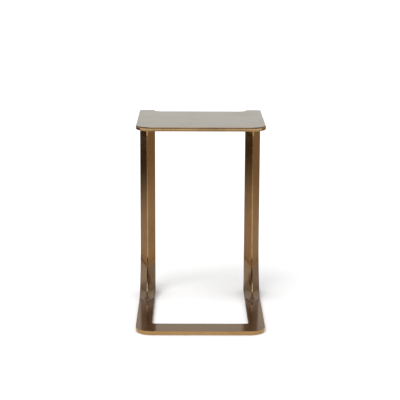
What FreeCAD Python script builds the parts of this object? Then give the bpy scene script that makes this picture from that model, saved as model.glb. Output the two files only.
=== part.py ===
"""C-shaped side table: a plate top carried at the back by two ridged legs on a flat U-shaped base.

Millimetres, +Z up. The origin is on the floor, under the middle of the whole table.
The front of the table is at -Y, and the legs stand at the back, at +Y.
"""
import FreeCAD
import Part
import math
import os

# Overall sizes
table_width = 406.4
table_height = 636.5
base_depth = 508.0
top_depth = 406.4

# Top plate
top_thickness = 12.7
top_corner_radius = 50.8
notch_depth = 57.2
notch_corner_radius = 28.6
crown_radius = 30.0
lip_drop = 10.0
top_edge_round = 4.0

# Legs
leg_width = 50.8
ridge_depth = 45.7
ridge_nose_width = 4.0
ridge_top_radius = 76.2
ridge_foot_radius = 133.0
leg_edge_foot_radius = 178.0
leg_edge_foot_reach = 117.0

# Base frame
base_thickness = 12.7
front_bar_depth = 79.4
base_corner_radius = 50.8
base_inner_radius = 10.0
base_edge_bevel = 0.7

# Screws that hold each leg down, put in from under the base
screw_diameter = 8.0
screw_head_diameter = 16.0
screw_length = 32.0
screw_clearance = 0.2
screw_rear_inset = 18.0
screw_pitch = 66.0
screw_tip_gap = 2.0

# Glides stuck under the base
glide_diameter = 24.0
glide_thickness = 1.5
glide_front_inset = 38.0
glide_middle_share = 0.5

# How far a cutting shape runs past the face that it cuts
cut_overrun = 1.0

# Places that follow from the sizes
half_width = table_width / 2
back_y = base_depth / 2
front_y = -base_depth / 2
top_front_y = back_y - top_depth
top_underside_z = table_height - top_thickness
crown_inner_radius = crown_radius - top_thickness
crown_axis_y = back_y - crown_radius
crown_axis_z = table_height - crown_radius
lip_end_z = crown_axis_z - lip_drop
leg_edge_y = back_y - top_thickness
nose_y = leg_edge_y - ridge_depth
base_top_z = glide_thickness + base_thickness
leg_centre_x = half_width - leg_width / 2
screw_ys = (back_y - screw_rear_inset, back_y - screw_rear_inset - screw_pitch)
screw_head_height = (screw_head_diameter - screw_diameter) / 2

SIDES = {"left": -1, "right": 1}


def point(x, y, z):
    """A point of the model."""
    return FreeCAD.Vector(x, y, z)


def line(start, end):
    """A straight edge."""
    return Part.makeLine(start, end)


def arc(start, middle, end):
    """A round edge through three points."""
    return Part.Arc(start, middle, end).toShape()


def mirrored(shape):
    """The same shape on the other side of the table's middle plane."""
    return shape.mirror(point(0, 0, 0), point(1, 0, 0))


def flat_face(edges):
    """A flat face inside a closed ring of edges."""
    return Part.Face(Part.Wire(Part.__sortEdges__(edges)))


def corner_arc(centre_x, centre_y, radius, start_degrees, end_degrees, z):
    """A plan corner: its first point, middle point and last point."""
    angles = (start_degrees, (start_degrees + end_degrees) / 2, end_degrees)
    return [
        point(
            centre_x + radius * math.cos(math.radians(angle)),
            centre_y + radius * math.sin(math.radians(angle)),
            z,
        )
        for angle in angles
    ]


def outline_face(stations):
    """A flat face whose outline runs through single points and three-point corners in turn."""
    edges = []
    for station, following in zip(stations, stations[1:] + stations[:1]):
        if len(station) == 3:
            edges.append(arc(*station))
        if station[-1].distanceToPoint(following[0]) > 0:
            edges.append(line(station[-1], following[0]))
    return Part.Face(Part.Wire(edges))


def top_flat():
    """The flat of the top, with its two rounded front corners."""
    corner_x = half_width - top_corner_radius
    corner_y = top_front_y + top_corner_radius
    z = top_underside_z
    stations = [
        corner_arc(-corner_x, corner_y, top_corner_radius, 180, 270, z),
        corner_arc(corner_x, corner_y, top_corner_radius, 270, 360, z),
        [point(half_width, crown_axis_y, z)],
        [point(-half_width, crown_axis_y, z)],
    ]
    return outline_face(stations).extrude(point(0, 0, top_thickness))


def notch_room():
    """What is cut from the back of the top to leave two tabs, with its inner corners rounded."""
    notch_x = half_width - leg_width
    fillet_x = notch_x - notch_corner_radius
    fillet_y = back_y - notch_depth + notch_corner_radius
    far_y = back_y + cut_overrun
    z = lip_end_z - cut_overrun
    stations = [
        [point(notch_x, far_y, z)],
        corner_arc(fillet_x, fillet_y, notch_corner_radius, 0, -90, z),
        corner_arc(-fillet_x, fillet_y, notch_corner_radius, -90, -180, z),
        [point(-notch_x, far_y, z)],
    ]
    return outline_face(stations).extrude(point(0, 0, table_height + cut_overrun - z))


def crown_profile(x):
    """The section of the bend and lip at the back of the top, drawn on the plane at x."""
    diagonal = math.sqrt(0.5)
    outer_middle = point(
        x, crown_axis_y + crown_radius * diagonal, crown_axis_z + crown_radius * diagonal
    )
    inner_middle = point(
        x,
        crown_axis_y + crown_inner_radius * diagonal,
        crown_axis_z + crown_inner_radius * diagonal,
    )
    outer_start = point(x, crown_axis_y, table_height)
    outer_end = point(x, back_y, crown_axis_z)
    inner_start = point(x, crown_axis_y, top_underside_z)
    inner_end = point(x, leg_edge_y, crown_axis_z)
    lip_outer = point(x, back_y, lip_end_z)
    lip_inner = point(x, leg_edge_y, lip_end_z)
    return flat_face(
        [
            arc(outer_start, outer_middle, outer_end),
            line(outer_end, lip_outer),
            line(lip_outer, lip_inner),
            line(lip_inner, inner_end),
            arc(inner_end, inner_middle, inner_start),
            line(inner_start, outer_start),
        ]
    )


def on_outer_skin(face):
    """Whether a face of the top belongs to its flat top surface, to a crown or to a tab's back."""
    middle = face.CenterOfMass
    if face.Surface.TypeId == "Part::GeomCylinder":
        return middle.y > crown_axis_y and face.Surface.Radius > crown_inner_radius
    return middle.z > table_height - cut_overrun or middle.y > back_y - cut_overrun


def outer_rim(plate):
    """The edges that end the outer skin of the top, all but the welded edge of each lip."""
    skin = [face for face in plate.Faces if on_outer_skin(face)]
    edges = [edge for face in skin for edge in face.Edges]
    ends = [edge for edge in edges if sum(edge.isSame(other) for other in edges) == 1]
    return [edge for edge in ends if edge.BoundBox.ZMax > lip_end_z + cut_overrun]


def top_plate():
    """The top: one plate with rounded front corners and two rear tabs bent down over the legs."""
    crown = crown_profile(-half_width).extrude(point(table_width, 0, 0))
    plate = top_flat().fuse(crown).removeSplitter().cut(notch_room())
    return plate.makeFillet(top_edge_round, outer_rim(plate))


def edge_path(x):
    """The front line of a leg's edge: straight down, then an arc out to the base."""
    turn = math.acos(1 - leg_edge_foot_reach / leg_edge_foot_radius)
    start_z = base_top_z + leg_edge_foot_radius * math.sin(turn)
    arc_points = [
        point(
            x,
            leg_edge_y - leg_edge_foot_radius * (1 - math.cos(turn * share)),
            start_z - leg_edge_foot_radius * math.sin(turn * share),
        )
        for share in (0, 0.5, 1)
    ]
    upper = point(x, leg_edge_y, top_underside_z - ridge_top_radius)
    head = point(x, leg_edge_y, top_underside_z)
    return [arc(*arc_points), line(arc_points[0], upper), line(upper, head)]


def nose_path(x):
    """The front line of a leg's ridge: an arc at the base, a straight run and an arc at the top."""
    diagonal = math.sqrt(0.5)
    foot_start = point(x, nose_y, base_top_z + ridge_foot_radius)
    foot_middle = point(
        x,
        nose_y - ridge_foot_radius * (1 - diagonal),
        base_top_z + ridge_foot_radius * (1 - diagonal),
    )
    foot_end = point(x, nose_y - ridge_foot_radius, base_top_z)
    head_start = point(x, nose_y, top_underside_z - ridge_top_radius)
    head_middle = point(
        x,
        nose_y - ridge_top_radius * (1 - diagonal),
        top_underside_z - ridge_top_radius * (1 - diagonal),
    )
    head_end = point(x, nose_y - ridge_top_radius, top_underside_z)
    return [
        arc(foot_start, foot_middle, foot_end),
        line(foot_start, head_start),
        arc(head_start, head_middle, head_end),
    ]


def path_end(path, index, high):
    """The highest or lowest point of one edge of a path."""
    ends = [vertex.Point for vertex in path[index].Vertexes]
    return max(ends, key=lambda p: p.z) if high else min(ends, key=lambda p: p.z)


def leg_blank():
    """The right leg's whole body, up to the underside of the top, before it is cut round the lip."""
    outer_x = half_width
    inner_x = half_width - leg_width
    nose_outer_x = leg_centre_x + ridge_nose_width / 2
    nose_inner_x = leg_centre_x - ridge_nose_width / 2
    lines = [edge_path(inner_x), nose_path(nose_inner_x), nose_path(nose_outer_x), edge_path(outer_x)]
    faces = []
    for near, far in zip(lines, lines[1:]):
        for near_edge, far_edge in zip(near, far):
            faces.append(Part.makeRuledSurface(near_edge, far_edge))
    feet = [path_end(path, 0, False) for path in lines]
    heads = [path_end(path, 2, True) for path in lines]
    back_foot = [point(x, back_y, base_top_z) for x in (outer_x, inner_x)]
    back_head = [point(x, back_y, top_underside_z) for x in (outer_x, inner_x)]
    faces.append(Part.Face(Part.makePolygon(feet + back_foot + feet[:1])))
    faces.append(Part.Face(Part.makePolygon(heads + back_head + heads[:1])))
    faces.append(Part.Face(Part.makePolygon(back_foot + back_head[::-1] + back_foot[:1])))
    for path, foot, head in ((lines[3], back_foot[0], back_head[0]), (lines[0], back_foot[1], back_head[1])):
        ring = path + [
            line(path_end(path, 0, False), foot),
            line(foot, head),
            line(head, path_end(path, 2, True)),
        ]
        faces.append(flat_face(ring))
    shell = Part.makeShell(faces)
    shell.sewShape()
    solid = Part.makeSolid(shell)
    if solid.Volume < 0:
        solid.reverse()
    return solid


def lip_room():
    """The space over a leg that the top's bent tab takes up, drawn past the leg on both sides."""
    start_x = half_width - leg_width - cut_overrun
    far_y = back_y + cut_overrun
    far_z = top_underside_z + cut_overrun
    diagonal = math.sqrt(0.5)
    bend_middle = point(
        start_x,
        crown_axis_y + crown_inner_radius * diagonal,
        crown_axis_z + crown_inner_radius * diagonal,
    )
    bend_low = point(start_x, leg_edge_y, crown_axis_z)
    bend_high = point(start_x, crown_axis_y, top_underside_z)
    corners = [
        bend_high,
        point(start_x, crown_axis_y, far_z),
        point(start_x, far_y, far_z),
        point(start_x, far_y, lip_end_z),
        point(start_x, leg_edge_y, lip_end_z),
        bend_low,
    ]
    edges = [line(a, b) for a, b in zip(corners, corners[1:])]
    edges.append(arc(bend_low, bend_middle, bend_high))
    return flat_face(edges).extrude(point(leg_width + 2 * cut_overrun, 0, 0))


def screw_profile(radius_gap, length):
    """Half the section of a countersunk screw, or of its hole, standing on the base's underside."""
    shank = screw_diameter / 2 + radius_gap
    head = screw_head_diameter / 2 + radius_gap
    low = glide_thickness
    corners = [
        point(0, 0, low),
        point(head, 0, low),
        point(shank, 0, low + screw_head_height),
        point(shank, 0, low + length),
        point(0, 0, low + length),
    ]
    return Part.Face(Part.makePolygon(corners + corners[:1]))


def screw_bodies(side, radius_gap, length):
    """The two screws of one leg, or their holes."""
    body = screw_profile(radius_gap, length).revolve(point(0, 0, 0), point(0, 0, 1), 360)
    return [body.translated(point(side * leg_centre_x, y, 0)) for y in screw_ys]


def leg(side):
    """A leg: a flat back, two slanting flanks and a narrow nose that sweeps out at head and foot."""
    body = leg_blank().cut(lip_room())
    upright = [
        edge
        for edge in body.Edges
        if edge.BoundBox.YMin > back_y - cut_overrun and edge.BoundBox.XLength < cut_overrun
    ]
    body = body.makeFillet(top_edge_round, upright)
    if side < 0:
        body = mirrored(body)
    return body.cut(screw_bodies(side, screw_clearance, screw_length + screw_tip_gap))


def base_frame():
    """The base: a flat U of plate, two runners joined by a wide bar at the front."""
    corner_x = half_width - base_corner_radius
    corner_y = front_y + base_corner_radius
    inner_x = half_width - leg_width
    bar_y = front_y + front_bar_depth
    fillet_x = inner_x - base_inner_radius
    fillet_y = bar_y + base_inner_radius
    z = glide_thickness
    stations = [
        corner_arc(-corner_x, corner_y, base_corner_radius, 180, 270, z),
        corner_arc(corner_x, corner_y, base_corner_radius, 270, 360, z),
        [point(half_width, back_y, z)],
        [point(inner_x, back_y, z)],
        corner_arc(fillet_x, fillet_y, base_inner_radius, 0, -90, z),
        corner_arc(-fillet_x, fillet_y, base_inner_radius, -90, -180, z),
        [point(-inner_x, back_y, z)],
        [point(-half_width, back_y, z)],
    ]
    frame = outline_face(stations).extrude(point(0, 0, base_thickness))
    upper_rim = [edge for edge in frame.Edges if edge.BoundBox.ZMin > base_top_z - cut_overrun]
    frame = frame.makeChamfer(base_edge_bevel, upper_rim)
    for side in SIDES.values():
        frame = frame.cut(screw_bodies(side, screw_clearance, screw_length))
    return frame


def glide(x, y):
    """A thin round glide, punched from sheet and stuck flat under the base."""
    return Part.makeCylinder(glide_diameter / 2, glide_thickness, point(x, y, 0))


def save(name, shape):
    """Write one sub-part."""
    shape.exportStep("parts/" + name + ".step")
    print(name, "solids", len(shape.Solids), "valid", shape.isValid(), "volume", round(shape.Volume))


def main():
    """Build every sub-part and write it."""
    os.makedirs("parts", exist_ok=True)
    save("top_plate", top_plate())
    save("base_frame", base_frame())
    rear_glide_y = (screw_ys[0] + screw_ys[1]) / 2
    front_glide_y = front_y + glide_front_inset
    middle_glide_y = front_glide_y + (rear_glide_y - front_glide_y) * glide_middle_share
    glide_ys = {"front": front_glide_y, "middle": middle_glide_y, "rear": rear_glide_y}
    screws = [screw for side in SIDES.values() for screw in screw_bodies(side, 0, screw_length)]
    save("leg_screws", Part.makeCompound(screws))
    for side_name, side in SIDES.items():
        save("leg_" + side_name, leg(side))
        for place, y in glide_ys.items():
            save("glide_" + place + "_" + side_name, glide(side * leg_centre_x, y))


main()
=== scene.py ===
"""A C-shaped side table in antique bronze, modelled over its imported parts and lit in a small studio.

Metres, +Z up, origin on the floor under the middle of the table. The front of the table is at -Y.
"""

import logging
import math
from collections.abc import Callable
from dataclasses import dataclass, field
from enum import Enum
from typing import Any, ClassVar

import bmesh
import bpy
from mathutils import Euler, Matrix, Vector


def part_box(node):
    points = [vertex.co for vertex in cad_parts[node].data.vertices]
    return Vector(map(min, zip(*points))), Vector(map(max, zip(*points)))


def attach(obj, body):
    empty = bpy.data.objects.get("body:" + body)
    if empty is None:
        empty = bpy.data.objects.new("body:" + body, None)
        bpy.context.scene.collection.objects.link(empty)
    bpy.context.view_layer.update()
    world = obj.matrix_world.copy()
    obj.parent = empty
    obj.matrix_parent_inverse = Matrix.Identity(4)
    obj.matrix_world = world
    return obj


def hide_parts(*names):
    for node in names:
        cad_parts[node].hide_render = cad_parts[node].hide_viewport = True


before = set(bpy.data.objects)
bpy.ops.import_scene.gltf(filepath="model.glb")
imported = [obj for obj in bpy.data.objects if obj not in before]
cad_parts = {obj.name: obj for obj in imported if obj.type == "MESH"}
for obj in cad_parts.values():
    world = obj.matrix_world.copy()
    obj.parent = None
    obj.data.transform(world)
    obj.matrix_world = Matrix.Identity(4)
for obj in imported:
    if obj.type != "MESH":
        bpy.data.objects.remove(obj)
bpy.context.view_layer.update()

Colour = tuple[float, float, float]
Place = tuple[float, float, float]
Span = tuple[float, float]
Test = Callable[[Vector], bool]

MM = 0.001
NEAR = 0.02 * MM
QUARTER_TURN = 90.0
SHARP_TURN = 50.0
ACROSS: Place = (1.0, 0.0, 0.0)
FRONT_TO_BACK: Place = (0.0, 1.0, 0.0)
UPWARDS: Place = (0.0, 0.0, 1.0)
PRESSED_ACROSS: Place = (0.0, 1.0, 1.0)
PRESSED_FRONT_TO_BACK: Place = (1.0, 0.0, 1.0)
SIDES: dict[str, float] = {"left": -1.0, "right": 1.0}
BODY = "root"

log = logging.getLogger("side_table")


class Wire:
    """A shader value or colour that Python's operators work on."""

    def __init__(self, graph: "Graph", socket: bpy.types.NodeSocket | None) -> None:
        """Wrap one output socket of a graph, or none for a node that ends it."""
        self.graph = graph
        self.socket = socket

    def __add__(self, other: "Wire | float") -> "Wire":
        """Sum."""
        return self.graph.math("ADD", self, other)

    def __radd__(self, other: float) -> "Wire":
        """Sum, with a number first."""
        return self.graph.math("ADD", other, self)

    def __sub__(self, other: "Wire | float") -> "Wire":
        """Difference."""
        return self.graph.math("SUBTRACT", self, other)

    def __rsub__(self, other: float) -> "Wire":
        """Difference, with a number first."""
        return self.graph.math("SUBTRACT", other, self)

    def __mul__(self, other: "Wire | float") -> "Wire":
        """Product."""
        return self.graph.math("MULTIPLY", self, other)

    def __rmul__(self, other: float) -> "Wire":
        """Product, with a number first."""
        return self.graph.math("MULTIPLY", other, self)

    def __truediv__(self, other: "Wire | float") -> "Wire":
        """Quotient."""
        return self.graph.math("DIVIDE", self, other)

    def __rtruediv__(self, other: float) -> "Wire":
        """Quotient, with a number first."""
        return self.graph.math("DIVIDE", other, self)

    def __pow__(self, other: "Wire | float") -> "Wire":
        """Power."""
        return self.graph.math("POWER", self, other)

    def __rpow__(self, other: float) -> "Wire":
        """Power, with a number first."""
        return self.graph.math("POWER", other, self)

    def between(self, low: float, high: float) -> "Wire":
        """A soft step that is 0 at low and 1 at high, which may be the smaller one."""
        values = {"Value": self, "From Min": low, "From Max": high}
        return self.graph.node("ShaderNodeMapRange", {"interpolation_type": "SMOOTHSTEP"}, values)


@dataclass(frozen=True)
class Patches:
    """Soft noise: its patches per metre, its layers of finer detail, and how strong those are."""

    scale: float
    detail: float
    roughness: float = 0.5


class Graph:
    """The nodes of one material or of the world, written as expressions."""

    edge_samples: int = 6
    edge_span: Span = (0.004, 0.12)

    def __init__(self, tree: bpy.types.NodeTree) -> None:
        """Start with an empty tree."""
        self.tree = tree
        self.tree.nodes.clear()

    def node(
        self,
        kind: str,
        settings: dict[str, Any] | None = None,
        values: dict[str | int, Any] | None = None,
        output: str | int = 0,
    ) -> Wire:
        """Add a node.

        Args:
            kind: The node's type.
            settings: Its own properties, set before any socket.
            values: Numbers, colours or wires for its input sockets, by name, identifier or number.
            output: The output socket that the wire comes from.

        Returns:
            A wire from that output, bare if the node has none.
        """
        made = self.tree.nodes.new(kind)
        for name, value in (settings or {}).items():
            setattr(made, name, value)
        for key, value in (values or {}).items():
            socket = self.socket(made.inputs, key)
            if isinstance(value, Wire):
                self.tree.links.new(value.socket, socket)
            else:
                socket.default_value = value
        return Wire(self, self.socket(made.outputs, output) if made.outputs else None)

    @staticmethod
    def socket(sockets: bpy.types.bpy_prop_collection, key: str | int) -> bpy.types.NodeSocket:
        """Find a socket.

        Args:
            sockets: A node's inputs or outputs.
            key: The socket's number, identifier or name.

        Returns:
            The socket.
        """
        if isinstance(key, int):
            return sockets[key]
        named = [one for one in sockets if one.identifier == key]
        return (named or [one for one in sockets if one.name == key])[0]

    def math(self, operation: str, first: Wire | float, second: Wire | float) -> Wire:
        """One sum of numbers."""
        return self.node("ShaderNodeMath", {"operation": operation}, {0: first, 1: second})

    def blend(self, share: Wire | float, first: Wire | Colour, second: Wire | Colour) -> Wire:
        """Mix two colours.

        Args:
            share: How much of the second there is, from 0 to 1.
            first: The colour where the share is 0.
            second: The colour where the share is 1.

        Returns:
            The mixed colour.
        """
        values: dict[str | int, Any] = {"Factor_Float": share}
        for key, end in (("A_Color", first), ("B_Color", second)):
            values[key] = end if isinstance(end, Wire) else (*end, 1.0)
        return self.node("ShaderNodeMix", {"data_type": "RGBA"}, values, "Result_Color")

    def dot(self, first: Wire, second: Wire) -> Wire:
        """The dot product of two directions."""
        settings = {"operation": "DOT_PRODUCT"}
        return self.node("ShaderNodeVectorMath", settings, {0: first, 1: second}, "Value")

    def place(self) -> Wire:
        """Where a point lies on the table, in metres."""
        return self.node("ShaderNodeTexCoord", output="Object")

    def way(self) -> Wire:
        """Which way a ray to the world goes, as a direction of length 1."""
        return self.node("ShaderNodeTexCoord", output="Generated")

    def for_reflections(self) -> Wire:
        """1 for the rays that a glossy surface sends out, and 0 for all others."""
        return self.node("ShaderNodeLightPath", output="Is Glossy Ray")

    def part(self, vector: Wire, axis: str) -> Wire:
        """One part of a vector: X, Y or Z."""
        return self.node("ShaderNodeSeparateXYZ", {}, {0: vector}, axis)

    def stretched(self, place: Wire, scale: Place) -> Wire:
        """The same place with each axis scaled."""
        return self.node("ShaderNodeMapping", {"vector_type": "POINT"}, {"Vector": place, "Scale": scale})

    def noise(self, place: Wire, patches: Patches) -> Wire:
        """Soft noise from 0 to 1."""
        values = {"Scale": patches.scale, "Detail": patches.detail, "Roughness": patches.roughness}
        return self.node("ShaderNodeTexNoise", {"noise_dimensions": "3D"}, {"Vector": place, **values})

    def edges(self, width: float) -> Wire:
        """Find the outside corners of a piece.

        Args:
            width: How far from a corner it still counts, in metres.

        Returns:
            1 on the corners, falling to 0 about that far away from them.
        """
        rounded = self.node("ShaderNodeBevel", {"samples": self.edge_samples}, {"Radius": width})
        facing = self.node("ShaderNodeNewGeometry", output="Normal")
        return (1.0 - self.dot(rounded, facing)).between(*self.edge_span)

    def relief(self, height: Wire, strength: float, depth: float) -> Wire:
        """The way a surface faces once it has a relief of some depth."""
        return self.node("ShaderNodeBump", {}, {"Strength": strength, "Distance": depth, "Height": height})


@dataclass(frozen=True)
class Finish:
    """What all finishes share: a name, and a surface that becomes a material."""

    name: str

    def surface(self, graph: Graph) -> Wire:
        """Draw the surface, which each finish does in its own way."""
        raise NotImplementedError

    def material(self) -> bpy.types.Material:
        """Make the material.

        Returns:
            A new material with this finish's surface.
        """
        made = bpy.data.materials.new(self.name)
        made.use_nodes = True
        graph = Graph(made.node_tree)
        graph.node("ShaderNodeOutputMaterial", {}, {"Surface": self.surface(graph)})
        return made


class Grain(Enum):
    """Which way a surface was brushed, as the axes' scales for its fine lines."""

    ACROSS = (6.0, 700.0, 700.0)
    UPRIGHT = (700.0, 700.0, 6.0)


@dataclass(frozen=True)
class AntiqueBronze(Finish):
    """Hand-rubbed antique bronze: clouded colour, brushed lines, pits, rubbed edges and a clear lacquer."""

    grain: Grain
    golden: Colour = (0.47, 0.275, 0.105)
    umber: Colour = (0.36, 0.2, 0.072)
    rubbed: Colour = (0.62, 0.41, 0.19)
    roughness: float = 0.12
    lacquer: float = 0.35
    lacquer_roughness: float = 0.11
    lacquer_index: float = 1.5
    clouds: Patches = Patches(11.0, 3.0, 0.55)
    mottle: Patches = Patches(75.0, 4.0, 0.6)
    specks: Patches = Patches(620.0, 2.0)
    brushing: Patches = Patches(1.0, 3.0, 0.6)
    cloud_share: float = 0.6
    dark_span: Span = (0.42, 0.66)
    dark_tint: float = 0.5
    dark_dulling: float = 0.05
    line_tint: float = 0.3
    line_dulling: float = 0.06
    line_relief: float = 0.5
    mottle_relief: float = 0.6
    pit_span: Span = (0.62, 0.74)
    pit_tint: float = 0.2
    pit_dulling: float = 0.1
    pit_relief: float = 0.2
    worn_width: float = 2.2 * MM
    worn_least: float = 0.45
    worn_more: float = 0.5
    worn_polish: float = 0.02
    relief_strength: float = 0.12
    relief_depth: float = 0.1 * MM

    def surface(self, graph: Graph) -> Wire:
        """Draw the surface.

        Args:
            graph: The material's nodes.

        Returns:
            The finished surface.
        """
        place = graph.place()
        mottle = graph.noise(place, self.mottle)
        lines = graph.noise(graph.stretched(place, self.grain.value), self.brushing)
        pits = graph.noise(place, self.specks).between(*self.pit_span)
        worn = graph.edges(self.worn_width)
        clouds = graph.noise(place, self.clouds) * self.cloud_share + mottle * (1.0 - self.cloud_share)
        dark = clouds.between(*self.dark_span)

        tone = graph.blend(dark * self.dark_tint + lines * self.line_tint, self.golden, self.umber)
        tone = graph.blend(pits * self.pit_tint, tone, self.umber)
        tone = graph.blend(worn * (self.worn_least + mottle * self.worn_more), tone, self.rubbed)
        rough = self.roughness + dark * self.dark_dulling + lines * self.line_dulling
        rough = rough + pits * self.pit_dulling - worn * self.worn_polish
        height = lines * self.line_relief + mottle * self.mottle_relief - pits * self.pit_relief
        values = {
            "Base Color": tone,
            "Metallic": 1.0,
            "Roughness": rough,
            "Normal": graph.relief(height, self.relief_strength, self.relief_depth),
            "Coat Weight": self.lacquer,
            "Coat Roughness": self.lacquer_roughness,
            "Coat IOR": self.lacquer_index,
        }
        return graph.node("ShaderNodeBsdfPrincipled", {"distribution": "MULTI_GGX"}, values)


@dataclass(frozen=True)
class ScrewSteel(Finish):
    """Zinc-plated steel of the countersunk screws: dull patches, fine scratches and bright edges."""

    name: str = "zinc_plated_steel"
    bright: Colour = (0.6, 0.6, 0.58)
    dull: Colour = (0.42, 0.42, 0.41)
    patches: Patches = Patches(260.0, 3.0)
    patch_span: Span = (0.35, 0.7)
    scratches: Patches = Patches(1.0, 3.0)
    scratch_scales: Place = (900.0, 900.0, 120.0)
    worn_width: float = 0.5 * MM
    worn_share: float = 0.5
    roughness: float = 0.28
    patch_dulling: float = 0.15
    scratch_dulling: float = 0.1
    relief_strength: float = 0.15
    relief_depth: float = 0.05 * MM

    def surface(self, graph: Graph) -> Wire:
        """Draw the surface.

        Args:
            graph: The material's nodes.

        Returns:
            The finished surface.
        """
        place = graph.place()
        patches = graph.noise(place, self.patches)
        scratches = graph.noise(graph.stretched(place, self.scratch_scales), self.scratches)
        tone = graph.blend(patches.between(*self.patch_span), self.bright, self.dull)
        tone = graph.blend(graph.edges(self.worn_width) * self.worn_share, tone, self.bright)
        values = {
            "Base Color": tone,
            "Metallic": 1.0,
            "Roughness": self.roughness + patches * self.patch_dulling + scratches * self.scratch_dulling,
            "Normal": graph.relief(scratches, self.relief_strength, self.relief_depth),
        }
        return graph.node("ShaderNodeBsdfPrincipled", {}, values)


@dataclass(frozen=True)
class GlideRubber(Finish):
    """Black rubber of the stick-on glides: matt and pebbled, with a little dust."""

    name: str = "black_rubber"
    fresh: Colour = (0.028, 0.027, 0.026)
    dusty: Colour = (0.075, 0.072, 0.068)
    pebbles: Patches = Patches(1400.0, 2.0)
    dust: Patches = Patches(160.0, 4.0, 0.6)
    dust_span: Span = (0.45, 0.75)
    dust_share: float = 0.7
    roughness: float = 0.62
    dust_dulling: float = 0.2
    relief_strength: float = 0.3
    relief_depth: float = 0.15 * MM

    def surface(self, graph: Graph) -> Wire:
        """Draw the surface.

        Args:
            graph: The material's nodes.

        Returns:
            The finished surface.
        """
        place = graph.place()
        pebbles = graph.noise(place, self.pebbles)
        dust = graph.noise(place, self.dust)
        values = {
            "Base Color": graph.blend(
                dust.between(*self.dust_span) * self.dust_share, self.fresh, self.dusty
            ),
            "Roughness": self.roughness + dust * self.dust_dulling,
            "Normal": graph.relief(pebbles, self.relief_strength, self.relief_depth),
        }
        return graph.node("ShaderNodeBsdfPrincipled", {}, values)


class Pick(Enum):
    """What is selected in edit mode."""

    POINTS = "VERT"
    EDGES = "EDGE"
    FACES = "FACE"


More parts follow.
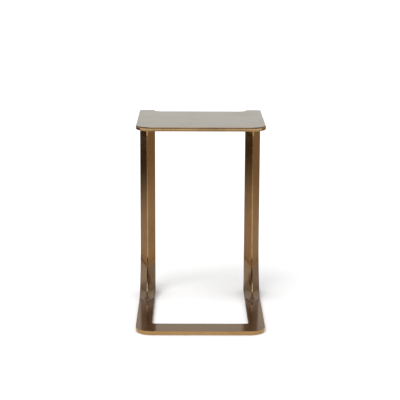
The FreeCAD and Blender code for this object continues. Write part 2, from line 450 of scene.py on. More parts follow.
class Workpiece:
    """One mesh on the bench, shaped with edit mode operators and finished with modifiers."""

    flat_turn: float = 1.0
    smooth_turn: float = 30.0

    def __init__(self, name: str) -> None:
        """Take the primitive that was just added, apply its place and open it for editing.

        Args:
            name: The new piece's name.
        """
        self.body = bpy.context.object
        self.body.name = name
        self.body.data.name = name
        bpy.ops.object.transform_apply(location=True, rotation=True, scale=True)
        self.open()

    @classmethod
    def plate(cls, name: str, low: Vector, high: Vector) -> "Workpiece":
        """Start from a flat rectangle that faces up.

        Args:
            name: The new piece's name.
            low: One corner.
            high: The opposite corner, at the same height.

        Returns:
            The rectangle, open for editing.
        """
        clear_selection()
        bpy.ops.mesh.primitive_plane_add(size=1.0, location=(low + high) / 2)
        bpy.context.object.scale = (high.x - low.x, high.y - low.y, 1.0)
        return cls(name)

    @classmethod
    def upright(cls, name: str, low: Vector, high: Vector) -> "Workpiece":
        """Start from a rectangle that stands across the table and faces the front.

        Args:
            name: The new piece's name.
            low: Its lower left corner.
            high: Its upper right corner, as far back.

        Returns:
            The rectangle, open for editing.
        """
        clear_selection()
        turn = Euler((math.radians(QUARTER_TURN), 0.0, 0.0))
        bpy.ops.mesh.primitive_plane_add(size=1.0, location=(low + high) / 2, rotation=turn)
        bpy.context.object.scale = (high.x - low.x, high.z - low.z, 1.0)
        return cls(name)

    @classmethod
    def disc(cls, name: str, centre: Vector, radius: float, sides: int) -> "Workpiece":
        """Start from a flat disc.

        Args:
            name: The new piece's name.
            centre: The disc's centre.
            radius: Its radius to the corners.
            sides: How many sides it has.

        Returns:
            The disc, open for editing.
        """
        clear_selection()
        bpy.ops.mesh.primitive_circle_add(
            vertices=sides, radius=radius, fill_type="NGON", location=centre
        )
        return cls(name)

    def close(self) -> None:
        """Go to object mode with this mesh alone selected."""
        clear_selection()
        bpy.context.view_layer.objects.active = self.body
        self.body.select_set(True)

    def open(self) -> None:
        """Go to edit mode on this mesh alone."""
        self.close()
        bpy.ops.object.mode_set(mode="EDIT")

    def pick(self, kind: Pick, test: Test, within: bool = False) -> None:
        """Select what lies in a region.

        Args:
            kind: Whether points, edges or faces are selected.
            test: Whether a corner lies in the region. All corners of an edge or face have to.
            within: Keep only what is selected already.
        """
        bpy.ops.mesh.select_mode(type=kind.value)
        shape = bmesh.from_edit_mesh(self.body.data)
        parts = {Pick.POINTS: shape.verts, Pick.EDGES: shape.edges, Pick.FACES: shape.faces}[kind]
        chosen = []
        for part in parts:
            corners = [part] if kind is Pick.POINTS else part.verts
            if (part.select or not within) and all(test(corner.co) for corner in corners):
                chosen.append(part)
        bpy.ops.mesh.select_all(action="DESELECT")
        for part in chosen:
            part.select_set(True)
        shape.select_flush_mode()
        bmesh.update_edit_mesh(self.body.data)
        if not chosen:
            log.warning("%s: nothing to select", self.body.name)

    def pick_all(self) -> None:
        """Select the whole mesh."""
        bpy.ops.mesh.select_all(action="SELECT")

    def pick_point(self, at: Vector) -> None:
        """Select the point at a place."""
        self.pick(Pick.POINTS, lambda p: (p - at).length < NEAR)

    def delete(self, kind: Pick, test: Test) -> None:
        """Delete the points, edges or faces in a region."""
        self.pick(kind, test)
        bpy.ops.mesh.delete(type=kind.value)

    def cut_line(self, at: Vector, along: Place) -> None:
        """Cut all faces along a plane through a point, which faces along a direction."""
        self.pick_all()
        bpy.ops.mesh.bisect(plane_co=at, plane_no=along)

    def cut_off_below(self, z: float) -> None:
        """Cut everything off level at a height, and close the cut."""
        self.pick_all()
        bpy.ops.mesh.bisect(plane_co=up(z), plane_no=UPWARDS, use_fill=True, clear_inner=True)

    def merge_flat_faces(self) -> None:
        """Make one face of all that lie in one plane, and drop the points inside straight edges."""
        self.pick_all()
        bpy.ops.mesh.dissolve_limited(angle_limit=math.radians(self.flat_turn))

    def round_corners(self, test: Test, radius: float, steps: int) -> None:
        """Round the corners of a flat outline that lie in a region."""
        self.pick(Pick.POINTS, test)
        bpy.ops.mesh.bevel(offset=radius, segments=steps, affect="VERTICES")

    def round_edges(self, test: Test, radius: float, steps: int, within: bool = False) -> None:
        """Round the edges in a region, or only those that are selected already."""
        self.pick(Pick.EDGES, test, within)
        bpy.ops.mesh.bevel(offset=radius, segments=steps, affect="EDGES", clamp_overlap=True)

    def round_sharp(self, test: Test, radius: float, steps: int) -> None:
        """Round the sharp edges in a region.

        Args:
            test: Whether a corner lies in the region.
            radius: The round's radius.
            steps: How many strips it has.
        """
        bpy.ops.mesh.select_mode(type=Pick.EDGES.value)
        bpy.ops.mesh.select_all(action="DESELECT")
        bpy.ops.mesh.edges_select_sharp(sharpness=math.radians(SHARP_TURN))
        self.round_edges(test, radius, steps, within=True)

    def extrude(self, move: Vector) -> None:
        """Extrude what is selected and move it."""
        bpy.ops.mesh.extrude_region_move(TRANSFORM_OT_translate={"value": move})

    def draw_out(self, pressed: Place, onto: Vector) -> None:
        """Extrude what is selected, and press it flat onto a plane through a point."""
        self.extrude(up(0.0))
        bpy.ops.transform.resize(value=pressed, center_override=onto)

    def sweep(self, centre: Vector, degrees: float, steps: int) -> None:
        """Sweep what is selected round an axis along X, from +Y towards +Z for a positive angle."""
        angle = -math.radians(degrees)
        bpy.ops.mesh.spin(steps=steps, angle=angle, center=centre, axis=ACROSS)

    def scale_in_plan(self, share: float, centre: Vector) -> None:
        """Scale what is selected in plan about a centre."""
        bpy.ops.transform.resize(value=(share, share, 1.0), center_override=centre)

    def shift(self, move: Vector) -> None:
        """Move what is selected."""
        bpy.ops.transform.translate(value=move)

    def merge_close(self, reach: float) -> None:
        """Merge the points that lie closer together than a distance."""
        self.pick_all()
        bpy.ops.mesh.remove_doubles(threshold=reach)

    def tidy(self) -> None:
        """Merge doubled points and turn all faces outwards."""
        self.merge_close(NEAR)
        bpy.ops.mesh.normals_make_consistent(inside=False)

    def finish(self, kind: str, **settings: Any) -> None:
        """Add a modifier, set it and apply it.

        Args:
            kind: The modifier's type.
            **settings: Its properties.
        """
        self.close()
        bpy.ops.object.modifier_add(type=kind)
        modifier = self.body.modifiers[-1]
        for name, value in settings.items():
            setattr(modifier, name, value)
        bpy.ops.object.modifier_apply(modifier=modifier.name)
        self.open()

    def cut_with(self, tool: "Workpiece") -> None:
        """Take another closed mesh away from this one, and delete it."""
        self.finish("BOOLEAN", operation="DIFFERENCE", solver="EXACT", object=tool.body)
        bpy.data.objects.remove(tool.body)

    def smooth(self) -> bpy.types.Object:
        """Shade the faces smooth across small angles.

        Returns:
            The finished object.
        """
        self.close()
        bpy.ops.object.shade_smooth_by_angle(angle=math.radians(self.smooth_turn))
        self.finish("WEIGHTED_NORMAL", keep_sharp=True)
        self.close()
        return self.body


def clear_selection() -> None:
    """Leave edit mode and deselect everything."""
    if bpy.context.object and bpy.context.object.mode != "OBJECT":
        bpy.ops.object.mode_set(mode="OBJECT")
    bpy.ops.object.select_all(action="DESELECT")


def up(height: float) -> Vector:
    """A move straight up, or down if it is negative."""
    return Vector((0.0, 0.0, height))


def copy_at(piece: bpy.types.Object, name: str, move: Vector) -> bpy.types.Object:
    """Copy a finished piece with its own mesh, moved inside the mesh.

    Args:
        piece: The piece to copy.
        name: The copy's name.
        move: How far the copy's mesh is moved.

    Returns:
        The copy.
    """
    clear_selection()
    piece.select_set(True)
    bpy.context.view_layer.objects.active = piece
    bpy.ops.object.duplicate()
    copied = bpy.context.object
    copied.name = name
    copied.data.name = name
    copied.location = move
    bpy.ops.object.transform_apply(location=True, rotation=False, scale=False)
    return copied


class Slot(Enum):
    """The record's material slots."""

    BRONZE = "antique_bronze"
    STEEL = "screw_steel"
    RUBBER = "glide_rubber"


@dataclass
class SubAssembly:
    """What the table's sub-assemblies share: a material, and how their finished pieces are dressed."""

    slot: ClassVar[Slot] = Slot.BRONZE
    material: bpy.types.Material

    def dress(self, piece: bpy.types.Object, node: str) -> bpy.types.Object:
        """Dress a finished piece and put it in the place of its CAD node.

        Args:
            piece: The finished piece.
            node: The CAD node that the piece stands for.

        Returns:
            The same piece.
        """
        piece.data.materials.clear()
        piece.data.materials.append(self.material)
        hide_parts(node)
        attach(piece, BODY)
        low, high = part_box(node)
        for axis in range(3):
            ends = [corner[axis] for corner in piece.bound_box]
            if min(ends) < low[axis] - NEAR or max(ends) > high[axis] + NEAR:
                log.warning("%s: past its solid along %s", piece.name, "XYZ"[axis])
        return piece


@dataclass(frozen=True)
class Blank:
    """A flat plate with rounded front corners, and a notch with rounded corners in its back edge."""

    name: str
    low: Vector
    high: Vector
    notch_x: float
    notch_y: float
    corner_radius: float
    notch_radius: float
    corner_steps: int = 28

    def in_notch(self, p: Vector) -> bool:
        """Whether a point lies in the notch or on its rim."""
        return abs(p.x) < self.notch_x + NEAR and p.y > self.notch_y - NEAR

    def cut(self) -> Workpiece:
        """Cut the blank out of a rectangle.

        Returns:
            The blank, facing up and open for editing.
        """
        work = Workpiece.plate(self.name, self.low, self.high)
        for side in SIDES.values():
            work.cut_line(Vector((side * self.notch_x, 0.0, self.high.z)), ACROSS)
        work.cut_line(Vector((0.0, self.notch_y, self.high.z)), FRONT_TO_BACK)
        work.delete(Pick.FACES, self.in_notch)
        work.merge_flat_faces()
        work.round_corners(lambda p: p.y < self.low.y + NEAR, self.corner_radius, self.corner_steps)
        inner_end = self.notch_y + NEAR
        work.round_corners(
            lambda p: self.in_notch(p) and p.y < inner_end, self.notch_radius, self.corner_steps
        )
        return work


@dataclass
class TopPlate(SubAssembly):
    """The top: a plate with rounded front corners and two rear tabs bent down over the legs."""

    node: str = "top_plate"
    thickness: float = 12.7 * MM
    corner_radius: float = 50.8 * MM
    notch_depth: float = 57.2 * MM
    tab_width: float = 50.8 * MM
    crown_radius: float = 30.0 * MM
    bend_steps: int = 20
    lip_drop: float = 10.0 * MM
    lip_scrap: float = 8.0 * MM
    shortest_edge: float = 0.25 * MM
    upper_round: float = 4.0 * MM
    lower_round: float = 3.0 * MM
    lower_round_reach: float = 342.0 * MM
    rim_steps: int = 8
    inner_round: float = 0.5 * MM
    inner_steps: int = 3
    seam_round: float = 0.25 * MM
    seam_steps: int = 2
    low: Vector = field(init=False)
    high: Vector = field(init=False)

    def __post_init__(self) -> None:
        """Take the outside sizes from the frame."""
        self.low, self.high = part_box(self.node)

    @property
    def crown_axis(self) -> Vector:
        """The axis that the tabs are bent round."""
        return Vector((0.0, self.high.y - self.crown_radius, self.high.z - self.crown_radius))

    @property
    def lip_end(self) -> float:
        """The height at which the tabs end."""
        return self.crown_axis.z - self.lip_drop

    @property
    def lower_round_end(self) -> float:
        """How far back the round on the lower rim runs."""
        return self.low.y + self.lower_round_reach

    def outline(self) -> Workpiece:
        """Cut the flat blank, up to where the tabs bend.

        Returns:
            The blank, open for editing.
        """
        notch_y = self.high.y - self.notch_depth
        blank = Blank(
            name=self.node + "_bronze",
            low=Vector((self.low.x, self.low.y, self.high.z)),
            high=Vector((self.high.x, self.crown_axis.y, self.high.z)),
            notch_x=self.high.x - self.tab_width,
            notch_y=notch_y,
            corner_radius=self.corner_radius,
            notch_radius=self.crown_axis.y - notch_y,
        )
        work = blank.cut()
        work.merge_close(self.shortest_edge)
        work.cut_line(Vector((0.0, self.lower_round_end, self.high.z)), FRONT_TO_BACK)
        return work

    def bend_tabs(self, work: Workpiece) -> None:
        """Bend the back edges of the blank down round the crown, and draw the lips out overlong.

        Args:
            work: The blank.
        """
        axis = self.crown_axis
        work.pick(Pick.EDGES, lambda p: p.y > axis.y - NEAR)
        work.sweep(axis, -QUARTER_TURN, self.bend_steps)
        work.extrude(up(-self.lip_drop))
        work.extrude(up(-self.lip_scrap))

    def skin_depth(self, p: Vector) -> float:
        """Measure how deep a point of the plate lies under its outer skin.

        Args:
            p: The point.

        Returns:
            Its depth, from 0 on the outer skin to the plate's thickness on the inner one.
        """
        axis = self.crown_axis
        if p.y < axis.y:
            return self.high.z - p.z
        if p.z < axis.z:
            return self.high.y - p.y
        return self.crown_radius - math.hypot(p.y - axis.y, p.z - axis.z)

    def on_outer_rim(self, p: Vector) -> bool:
        """Whether a point lies on the outer skin, down to the tabs' ends."""
        return self.skin_depth(p) < NEAR and p.z > self.lip_end - NEAR

    def on_lower_rim(self, p: Vector) -> bool:
        """Whether a point lies on the underside, where its rim is rounded."""
        return self.skin_depth(p) > self.thickness - NEAR and p.y < self.lower_round_end + NEAR

    def on_inner_rim(self, p: Vector) -> bool:
        """Whether a point lies on the inner skin, down to the tabs' ends."""
        return self.skin_depth(p) > self.thickness - self.inner_round and p.z > self.lip_end - NEAR

    def model(self) -> bpy.types.Object:
        """Model the plate.

        Returns:
            The finished plate.
        """
        work = self.outline()
        self.bend_tabs(work)
        work.tidy()
        work.finish("SOLIDIFY", thickness=self.thickness, offset=-1.0, use_even_offset=True)
        work.round_sharp(self.on_outer_rim, self.upper_round, self.rim_steps)
        work.round_sharp(self.on_lower_rim, self.lower_round, self.rim_steps)
        work.round_sharp(self.on_inner_rim, self.inner_round, self.inner_steps)
        work.cut_off_below(self.lip_end)
        work.round_sharp(lambda p: p.z < self.lip_end + NEAR, self.seam_round, self.seam_steps)
        work.tidy()
        return work.smooth()

    def build(self) -> list[bpy.types.Object]:
        """Model and dress the plate, and give it back in a list."""
        return [self.dress(self.model(), self.node)]


@dataclass
class LegScrews(SubAssembly):
    """The countersunk socket screws that hold the legs down, put in from under the base."""

    slot: ClassVar[Slot] = Slot.STEEL
    node: str = "leg_screws"
    diameter: float = 8.0 * MM
    head_diameter: float = 16.0 * MM
    length: float = 32.0 * MM
    clearance: float = 0.2 * MM
    tip_gap: float = 2.0 * MM
    rear_inset: float = 18.0 * MM
    side_inset: float = 25.4 * MM
    pitch: float = 66.0 * MM
    socket_width: float = 5.0 * MM
    socket_depth: float = 2.6 * MM
    socket_point: float = 1.0 * MM
    socket_point_share: float = 0.1
    socket_sides: int = 6
    land: float = 0.4 * MM
    land_steps: int = 2
    tip_chamfer: float = 1.2 * MM
    sides: int = 48
    low_z: float = field(init=False)
    middle_x: float = field(init=False)
    back_y: float = field(init=False)

    def __post_init__(self) -> None:
        """Take the base's underside, and where the screws stand from its sides and back."""
        low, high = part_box("base_frame")
        self.low_z = low.z
        self.middle_x = high.x - self.side_inset
        self.back_y = high.y

    @property
    def places(self) -> dict[str, float]:
        """Where the two screws of a leg stand, by name."""
        rear = self.back_y - self.rear_inset
        return {"rear": rear, "front": rear - self.pitch}

    def turned(self, name: str, y: float, gap: float, low_z: float, length: float) -> Workpiece:
        """Turn a countersunk head and a shank from a disc.

        Args:
            name: The new mesh's name.
            y: Where the axis stands.
            gap: How much larger the radius is than the screw's.
            low_z: Where the head's flat lies.
            length: How long the whole is.

        Returns:
            The mesh, open for editing with its tip selected.
        """
        head = self.head_diameter / 2 + gap
        shank = self.diameter / 2 + gap
        centre = Vector((0.0, y, low_z))
        cone = (self.head_diameter - self.diameter) / 2
        work = Workpiece.disc(name, centre, head, self.sides)
        work.pick_all()
        work.extrude(up(cone))
        work.scale_in_plan(shank / head, centre)
        work.extrude(up(length - cone))
        return work

    def hole(self, y: float, tip_gap: float) -> Workpiece:
        """Make the room for one screw on the table's middle plane.

        Args:
            y: Where the screw's axis stands.
            tip_gap: How far the room runs past the screw's tip.

        Returns:
            A closed mesh to cut with, open for editing.
        """
        # The room starts a clearance under the base, and its cone is wider by as much again for that.
        start = self.low_z - self.clearance
        work = self.turned("screw_hole", y, 2 * self.clearance, start, self.length + tip_gap)
        work.tidy()
        return work

    def hex_socket(self, y: float) -> Workpiece:
        """Make the room for the hex key, with a pointed end.

        Args:
            y: Where the screw's axis stands.

        Returns:
            A closed mesh to cut with, open for editing.
        """
        centre = Vector((0.0, y, self.low_z - self.clearance))
        radius = self.socket_width / 2 / math.cos(math.pi / self.socket_sides)
        work = Workpiece.disc("hex_socket", centre, radius, self.socket_sides)
        work.pick_all()
        work.extrude(up(self.socket_depth))
        work.extrude(up(self.socket_point))
        work.scale_in_plan(self.socket_point_share, centre)
        work.tidy()
        return work

    def model(self) -> bpy.types.Object:
        """Model the rear screw on the table's middle plane.

        Returns:
            The finished screw, to be copied to each hole.
        """
        y = self.places["rear"]
        work = self.turned("leg_screw", y, 0.0, self.low_z, self.length - self.tip_chamfer)
        work.extrude(up(self.tip_chamfer))
        work.scale_in_plan(1.0 - 2 * self.tip_chamfer / self.diameter, Vector((0.0, y, 0.0)))
        work.tidy()
        work.round_sharp(lambda p: p.z < self.low_z + NEAR, self.land, self.land_steps)
        work.cut_with(self.hex_socket(y))
        work.tidy()
        return work.smooth()

    def build(self) -> list[bpy.types.Object]:
        """Model one screw, and dress a copy of it in each hole.

        Returns:
            The four screws.
        """
        blank = self.model()
        screws = []
        for side_name, side in SIDES.items():
            for place_name, y in self.places.items():
                move = Vector((side * self.middle_x, y - self.places["rear"], 0.0))
                screws.append(self.dress(copy_at(blank, f"screw_{place_name}_{side_name}", move), self.node))
        bpy.data.objects.remove(blank)
        return screws


@dataclass
class Leg(SubAssembly):
    """A leg: a flat back, two slanting flanks and a narrow nose that sweeps out at head and foot."""

    top: TopPlate
    screws: LegScrews
    node_start: str = "leg_"
    width: float = 50.8 * MM
    side_depth: float = 12.7 * MM
    ridge_depth: float = 45.7 * MM
    nose_width: float = 4.0 * MM
    head_radius: float = 76.2 * MM
    head_steps: int = 20
    foot_radius: float = 133.0 * MM
    foot_steps: int = 28
    edge_foot_radius: float = 178.0 * MM
    edge_foot_reach: float = 117.0 * MM
    flank_strips: int = 12
    back_round: float = 4.0 * MM
    back_steps: int = 5
    edge_round: float = 0.8 * MM
    nose_round: float = 0.7 * MM
    arris_steps: int = 3
    overrun: float = 2.0 * MM
    low: Vector = field(init=False)
    high: Vector = field(init=False)

    def __post_init__(self) -> None:
        """Take the outside sizes from the frame, as the right leg has them."""
        self.low, self.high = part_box(self.node_start + "right")

    @property
    def middle_x(self) -> float:
        """How far the legs' own middle planes stand from the table's."""
        return self.high.x - self.width / 2

    @property
    def edge_start(self) -> Vector:
        """Where the leg's edge starts, level with the foot of the nose's head arc."""
        return Vector((self.width / 2, self.high.y - self.side_depth, self.high.z - self.head_radius))

    @property
    def nose_start(self) -> Vector:
        """Where the nose line starts, at the foot of its head arc."""
        return Vector((self.nose_width / 2, self.edge_start.y - self.ridge_depth, self.edge_start.z))

    def nose_rail(self, work: Workpiece) -> None:
        """Draw the nose line: up through the head's arc, and down through the foot's.

        Args:
            work: The mesh that holds the line's first point.
        """
        start = self.nose_start
        foot_z = self.low.z + self.foot_radius
        work.pick_point(start)
        work.sweep(start - Vector((0.0, self.head_radius, 0.0)), QUARTER_TURN, self.head_steps)
        work.pick_point(start)
        work.extrude(up(foot_z - start.z))
        work.sweep(Vector((start.x, start.y - self.foot_radius, foot_z)), -QUARTER_TURN, self.foot_steps)

    def edge_rail(self, work: Workpiece) -> None:
        """Draw the leg's edge: straight steps beside the nose's head arc, and an arc at the foot.

        Args:
            work: The mesh that holds the line's first point.
        """
        start = self.edge_start
        turn = math.acos(1.0 - self.edge_foot_reach / self.edge_foot_radius)
        foot_z = self.low.z + self.edge_foot_radius * math.sin(turn)
        work.pick_point(start)
        for _ in range(self.head_steps):
            work.extrude(up(self.head_radius / self.head_steps))
        work.pick_point(start)
        work.extrude(up(foot_z - start.z))
        centre = Vector((start.x, start.y - self.edge_foot_radius, foot_z))
        work.sweep(centre, -math.degrees(turn), self.foot_steps)

    def seed_points(self) -> Workpiece:
        """Keep two corners of a plate, from which the nose and the edge are drawn.

        Returns:
            A mesh of those two points, open for editing.
        """
        low, high = self.nose_start, self.edge_start
        work = Workpiece.plate("leg_bronze", low, high)
        work.delete(Pick.POINTS, lambda p: (p - low).length > NEAR and (p - high).length > NEAR)
        return work

    def half_skin(self) -> Workpiece:
        """Span one flank between the rails, then draw out the side, half the back and half the nose.

        Returns:
            Half of the leg's skin, open at the middle plane.
        """
        work = self.seed_points()
        self.nose_rail(work)
        self.edge_rail(work)
        work.pick_all()
        bpy.ops.mesh.bridge_edge_loops(number_cuts=self.flank_strips - 1, interpolation="LINEAR")
        edge_x, nose_x = self.edge_start.x, self.nose_start.x
        work.pick(Pick.EDGES, lambda p: abs(p.x - edge_x) < NEAR)
        work.draw_out(PRESSED_FRONT_TO_BACK, Vector((0.0, self.high.y, 0.0)))
        work.draw_out(PRESSED_ACROSS, up(0.0))
        work.pick(Pick.EDGES, lambda p: abs(p.x - nose_x) < NEAR)
        work.draw_out(PRESSED_ACROSS, up(0.0))
        for end_z in (self.low.z, self.high.z):
            work.pick(Pick.EDGES, lambda p: abs(p.z - end_z) < NEAR)
            bpy.ops.mesh.edge_face_add()
        return work

    def lip_room(self) -> Workpiece:
        """Make the space that the top's bent tab takes up over a leg, drawn past the leg all round.

        Returns:
            A closed mesh to cut with, open for editing.
        """
        axis = self.top.crown_axis
        inner = self.top.crown_radius - self.top.thickness
        outer = math.hypot(self.top.crown_radius, inner) + self.overrun
        reach = self.width / 2 + self.overrun
        low = Vector((-reach, axis.y, axis.z + inner))
        high = Vector((reach, axis.y, axis.z + outer))
        work = Workpiece.upright("lip_room", low, high)
        work.pick_all()
        work.sweep(axis, -QUARTER_TURN, self.top.bend_steps)
        work.extrude(up(-self.top.lip_drop))
        work.tidy()
        return work

    def round_arrises(self, work: Workpiece) -> None:
        """Round the back corners, the side edges and the nose.

        Args:
            work: The leg's closed mesh.
        """
        edge_x, nose_x = self.edge_start.x, self.nose_start.x
        back_y = self.high.y - NEAR
        front_y = back_y - self.back_round
        work.round_edges(
            lambda p: p.y > back_y and abs(abs(p.x) - edge_x) < NEAR, self.back_round, self.back_steps
        )
        work.round_edges(
            lambda p: p.y < front_y and abs(abs(p.x) - edge_x) < NEAR, self.edge_round, self.arris_steps
        )
        work.round_edges(lambda p: abs(abs(p.x) - nose_x) < NEAR, self.nose_round, self.arris_steps)
        work.tidy()

    def model(self) -> bpy.types.Object:
        """Model a leg on the table's middle plane.

        Returns:
            The finished leg, to be copied to both sides.
        """
        work = self.half_skin()
        work.tidy()
        work.finish("MIRROR", use_axis=(True, False, False), use_mirror_merge=True, merge_threshold=NEAR)
        work.tidy()
        self.round_arrises(work)
        work.cut_with(self.lip_room())
        for y in self.screws.places.values():
            work.cut_with(self.screws.hole(y, self.screws.tip_gap))
        work.tidy()
        return work.smooth()

    def build(self) -> list[bpy.types.Object]:
        """Model one leg, and dress a copy of it on each side.

        Returns:
            The two legs.
        """
        blank = self.model()
        legs = []
        for side_name, side in SIDES.items():
            node = self.node_start + side_name
            move = Vector((side * self.middle_x, 0.0, 0.0))
            legs.append(self.dress(copy_at(blank, node + "_bronze", move), node))
        bpy.data.objects.remove(blank)
        return legs


@dataclass
class BaseFrame(SubAssembly):
    """The base: a flat U of plate, two runners joined by a wide bar at the front."""

    screws: LegScrews
    node: str = "base_frame"
    runner_width: float = 50.8 * MM
    bar_depth: float = 79.4 * MM
    corner_radius: float = 50.8 * MM
    inner_radius: float = 10.0 * MM
    upper_round: float = 0.9 * MM
    upper_steps: int = 4
    lower_round: float = 1.2 * MM
    lower_steps: int = 3
    low: Vector = field(init=False)
    high: Vector = field(init=False)

    def __post_init__(self) -> None:
        """Take the outside sizes from the frame."""
        self.low, self.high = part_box(self.node)

    def model(self) -> bpy.types.Object:
        """Model the frame.

        Returns:
            The finished base frame.
        """
        blank = Blank(
            name=self.node + "_bronze",
            low=Vector((self.low.x, self.low.y, self.high.z)),
            high=self.high,
            notch_x=self.high.x - self.runner_width,
            notch_y=self.low.y + self.bar_depth,
            corner_radius=self.corner_radius,
            notch_radius=self.inner_radius,
        )
        work = blank.cut()
        work.pick_all()
        work.extrude(up(self.low.z - self.high.z))
        work.tidy()
        work.round_sharp(lambda p: p.z > self.high.z - NEAR, self.upper_round, self.upper_steps)
        work.round_sharp(lambda p: p.z < self.low.z + NEAR, self.lower_round, self.lower_steps)
        work.tidy()
        for side in SIDES.values():
            for y in self.screws.places.values():
                hole = self.screws.hole(y, 0.0)
                hole.pick_all()
                hole.shift(Vector((side * self.screws.middle_x, 0.0, 0.0)))
                work.cut_with(hole)
        work.tidy()
        return work.smooth()

    def build(self) -> list[bpy.types.Object]:
        """Model and dress the frame, and give it back in a list."""
        return [self.dress(self.model(), self.node)]


@dataclass
class Glides(SubAssembly):
    """The thin rubber glides stuck under the base."""

    slot: ClassVar[Slot] = Slot.RUBBER
    node_start: str = "glide_"
    bevel: float = 0.45 * MM
    bevel_steps: int = 4
    rim: float = 1.6 * MM
    dish: float = 0.12 * MM
    sides: int = 64

    def model(self, node: str) -> bpy.types.Object:
        """Model one glide in its own place.

        Args:
            node: The glide's node.

        Returns:
            The finished glide.
        """
        low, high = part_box(node)
        middle = (low + high) / 2
        foot = Vector((middle.x, middle.y, high.z))
        work = Workpiece.disc(node + "_rubber", foot, (high.x - low.x) / 2, self.sides)
        work.pick_all()
        work.extrude(up(low.z - high.z))
        work.tidy()
        work.round_sharp(lambda p: p.z < low.z + NEAR, self.bevel, self.bevel_steps)
        work.pick(Pick.FACES, lambda p: p.z < low.z + NEAR)
        bpy.ops.mesh.inset(thickness=self.rim)
        work.shift(up(self.dish))
        work.tidy()
        return work.smooth()

    def build(self) -> list[bpy.types.Object]:
        """Model and dress all the glides in the frame, and give them back in a list."""
        nodes = sorted(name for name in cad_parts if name.startswith(self.node_start))
        return [self.dress(self.model(node), node) for node in nodes]


@dataclass(frozen=True)
class Camera:
    """The camera at the photograph's place and angle, in metres, degrees and millimetres of lens."""

    location: Place = (-0.0310, -4.1557, 1.2719)
    yaw: float = -0.4093
    pitch: float = 12.1683
    roll: float = 0.2316
    lens: float = 118.37
    sensor: float = 36.0
    farthest: float = 200.0

    def build(self) -> None:
        """Make the camera and give it to the scene."""
        clear_selection()
        bpy.ops.object.camera_add(location=self.location)
        camera = bpy.context.object
        yaw = Matrix.Rotation(math.radians(self.yaw), 4, "Z")
        pitch = Matrix.Rotation(math.radians(QUARTER_TURN - self.pitch), 4, "X")
        roll = Matrix.Rotation(math.radians(self.roll), 4, "Z")
        camera.matrix_world = Matrix.Translation(self.location) @ yaw @ pitch @ roll
        camera.data.lens = self.lens
        camera.data.sensor_width = self.sensor
        camera.data.clip_end = self.farthest
        bpy.context.scene.camera = camera


@dataclass(frozen=True)
class KeyLight:
    """A broad light far off that gives the table its soft shadow. The metal doesn't show it."""

    name: str = "key_light"
    from_where: Place = (-0.44, -1.04, 1.5)
    power: float = 1.75
    spread: float = 36.0

    def build(self) -> None:
        """Hang the light and point it at the table."""
        clear_selection()
        bpy.ops.object.light_add(type="SUN", location=self.from_where)
        lamp = bpy.context.object
        lamp.name = self.name
        lamp.data.energy = self.power
        lamp.data.angle = math.radians(self.spread)
        lamp.rotation_euler = (-Vector(self.from_where)).to_track_quat("-Z", "Y").to_euler()
        lamp.visible_glossy = False


def plan_length(x: Wire, y: Wire) -> Wire:
    """How long a direction is when it is seen from above."""
    return (x * x + y * y) ** 0.5


@dataclass(frozen=True)
class PaleFloor(Finish):
    """White paper to the eye. The metal sees a painted pool of light glowing on it, with a painted shadow of
    the table under it, with places in metres.
    """

    name: str = "pale_floor"
    paper: Colour = (0.92, 0.92, 0.92)
    pool_front: Colour = (1.0, 1.0, 1.0)
    # Painted shadow of the table on the floor, which only the metal sees.
    painted_shadow_under: Colour = (0.1, 0.09, 0.08)
    pool_back: Colour = (0.48, 0.42, 0.36)
    dim_front: Colour = (0.05, 0.04, 0.03)
    dim_left: Colour = (0.045, 0.028, 0.014)
    dim_right: Colour = (0.3, 0.22, 0.14)
    far_front: Colour = (1.2, 1.32, 1.55)
    far_side: Colour = (0.7, 0.66, 0.66)
    far_back: Colour = (0.65, 0.7, 0.71)
    left_to_right: Span = (-0.8, 0.8)
    front_to_back: Span = (-0.45, 0.45)
    back_pool_edge: Span = (1.12, 2.72)
    back_dim_edge: Span = (4.0, 5.2)
    far_back_turn: Span = (0.72, 0.95)
    far_back_edge: Span = (1.5, 3.0)
    front_pool_edge: Span = (1.1, 2.45)
    front_dim_edge: Span = (3.3, 4.1)
    # Where the painted shadow under the table is centred, and how it fades out.
    painted_shadow_middle_y: float = 0.1
    painted_shadow_edge: Span = (0.22, 0.36)

    def pool(self, graph: Graph) -> Wire:
        """Work out how bright the floor looks in the metal.

        Args:
            graph: The floor material's nodes.

        Returns:
            The floor's tone: brightest near the table, more so in front, and dark under it with a painted
            shadow of the table.
        """
        place = graph.place()
        x, y = graph.part(place, "X"), graph.part(place, "Y")
        reach = plan_length(x, y)
        dim_back = graph.blend(x.between(*self.left_to_right), self.dim_left, self.dim_right)
        back = graph.blend(reach.between(*self.back_pool_edge), self.pool_back, dim_back)
        back = graph.blend(reach.between(*self.back_dim_edge), back, self.far_side)
        straight_back = (y / reach).between(*self.far_back_turn) * reach.between(*self.far_back_edge)
        back = graph.blend(straight_back, back, self.far_back)
        front = graph.blend(reach.between(*self.front_pool_edge), self.pool_front, self.dim_front)
        front = graph.blend(reach.between(*self.front_dim_edge), front, self.far_front)
        tone = graph.blend(y.between(*self.front_to_back), front, back)
        # A painted shadow under the table darkens the pool near its middle.
        from_shadow_middle = plan_length(x, y - self.painted_shadow_middle_y)
        return graph.blend(from_shadow_middle.between(*self.painted_shadow_edge), self.painted_shadow_under, tone)

    def surface(self, graph: Graph) -> Wire:
        """Draw the surface.

        Args:
            graph: The material's nodes.

        Returns:
            Paper, or the painted pool of light and painted shadow for the rays of reflections.
        """
        paper = graph.node("ShaderNodeBsdfDiffuse", {}, {"Color": (*self.paper, 1.0)})
        glow = graph.node("ShaderNodeEmission", {}, {"Color": self.pool(graph)})
        return graph.node("ShaderNodeMixShader", {}, {0: graph.for_reflections(), 1: paper, 2: glow})


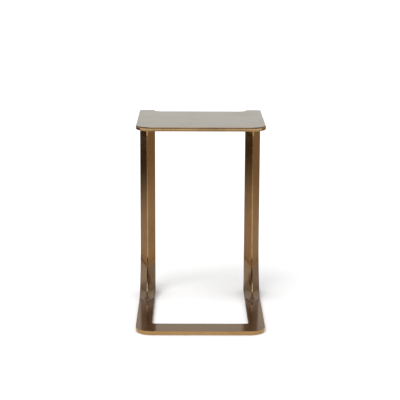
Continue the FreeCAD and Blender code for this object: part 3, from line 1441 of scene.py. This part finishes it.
@dataclass(frozen=True)
class Room:
    """Even daylight to the eye. The metal sees walls, with limits as parts of a direction."""

    name: str = "studio"
    daylight: Colour = (0.87, 0.87, 0.87)
    wall_left: Colour = (0.51, 0.555, 0.76)
    wall_right: Colour = (0.37, 0.4, 0.52)
    side_high: Colour = (0.28, 0.31, 0.46)
    back_low: Colour = (0.65, 0.7, 0.71)
    back_middle: Colour = (0.42, 0.42, 0.43)
    back_dark: Colour = (0.2, 0.2, 0.2)
    back_corner: Colour = (0.42, 0.48, 0.7)
    front_dark: Colour = (0.05, 0.04, 0.03)
    front_light: Colour = (0.3, 0.32, 0.33)
    overhead: Colour = (1.9, 2.35, 3.4)
    left_to_right: Span = (-0.4, 0.4)
    side_top: Span = (0.35, 0.5)
    back_low_top: Span = (0.17, 0.3)
    back_middle_top: Span = (0.35, 0.6)
    corner_turn: Span = (0.55, 0.64)
    corner_foot: Span = (0.26, 0.36)
    corner_top: Span = (0.86, 0.76)
    straight_back_turn: Span = (0.9, 0.97)
    back_turn: Span = (0.4, 0.62)
    window_foot: Span = (0.13, 0.22)
    window_top: Span = (0.5, 0.4)
    front_turn: Span = (-0.1, -0.5)
    overhead_rise: Span = (0.94, 0.985)

    def walls(self, graph: Graph) -> Wire:
        """Work out how bright the room looks in the metal.

        Args:
            graph: The world's nodes.

        Returns:
            The room's tone, by direction.
        """
        way = graph.way()
        x, y, z = (graph.part(way, axis) for axis in "XYZ")
        backwards = y / plan_length(x, y)
        side = graph.blend(x.between(*self.left_to_right), self.wall_left, self.wall_right)
        side = graph.blend(z.between(*self.side_top), side, self.side_high)
        straight = graph.blend(z.between(*self.back_low_top), self.back_low, self.back_middle)
        straight = graph.blend(z.between(*self.back_middle_top), straight, self.back_dark)
        corner = backwards.between(*self.corner_turn)
        corner = corner * z.between(*self.corner_foot) * z.between(*self.corner_top)
        beside = graph.blend(corner, self.back_dark, self.back_corner)
        back = graph.blend(backwards.between(*self.straight_back_turn), beside, straight)
        tone = graph.blend(backwards.between(*self.back_turn), side, back)
        window = z.between(*self.window_foot) * z.between(*self.window_top)
        front = graph.blend(window, self.front_dark, self.front_light)
        tone = graph.blend(y.between(*self.front_turn), tone, front)
        return graph.blend(z.between(*self.overhead_rise), tone, self.overhead)

    def build(self) -> None:
        """Make the world and give it to the scene."""
        world = bpy.data.worlds.new(self.name)
        world.use_nodes = True
        graph = Graph(world.node_tree)
        seen = graph.blend(graph.for_reflections(), self.daylight, self.walls(graph))
        light = graph.node("ShaderNodeBackground", {}, {"Color": seen})
        graph.node("ShaderNodeOutputWorld", {}, {"Surface": light})
        bpy.context.scene.world = world


@dataclass(frozen=True)
class Studio:
    """A wide pale floor, a room round it and one key light."""

    floor_size: float = 120.0
    floor: PaleFloor = PaleFloor()
    room: Room = Room()
    light: KeyLight = KeyLight()

    def lay_floor(self) -> None:
        """Lay the floor."""
        clear_selection()
        bpy.ops.mesh.primitive_plane_add(size=self.floor_size)
        floor = bpy.context.object
        floor.name = "studio_floor"
        bpy.ops.object.transform_apply(location=True, rotation=True, scale=True)
        floor.data.materials.append(self.floor.material())

    def build(self) -> None:
        """Set up the floor, the room and the light."""
        self.lay_floor()
        self.room.build()
        self.light.build()
        bpy.context.scene.view_settings.view_transform = "Standard"


def main() -> None:
    """Build the table piece by piece, then the studio and the camera."""
    logging.basicConfig(level=logging.INFO, format="%(message)s")
    across = AntiqueBronze("antique_bronze_across", Grain.ACROSS, roughness=0.08).material()
    upright = AntiqueBronze("antique_bronze_upright", Grain.UPRIGHT).material()
    top = TopPlate(across)
    screws = LegScrews(ScrewSteel().material())
    base = BaseFrame(across, screws)
    legs = Leg(upright, top, screws)
    glides = Glides(GlideRubber().material())
    for sub_assembly in (top, base, legs, screws, glides):
        for piece in sub_assembly.build():
            log.info("%s: %d faces", piece.name, len(piece.data.polygons))
    Studio().build()
    Camera().build()


if __name__ == "__main__":
    main()
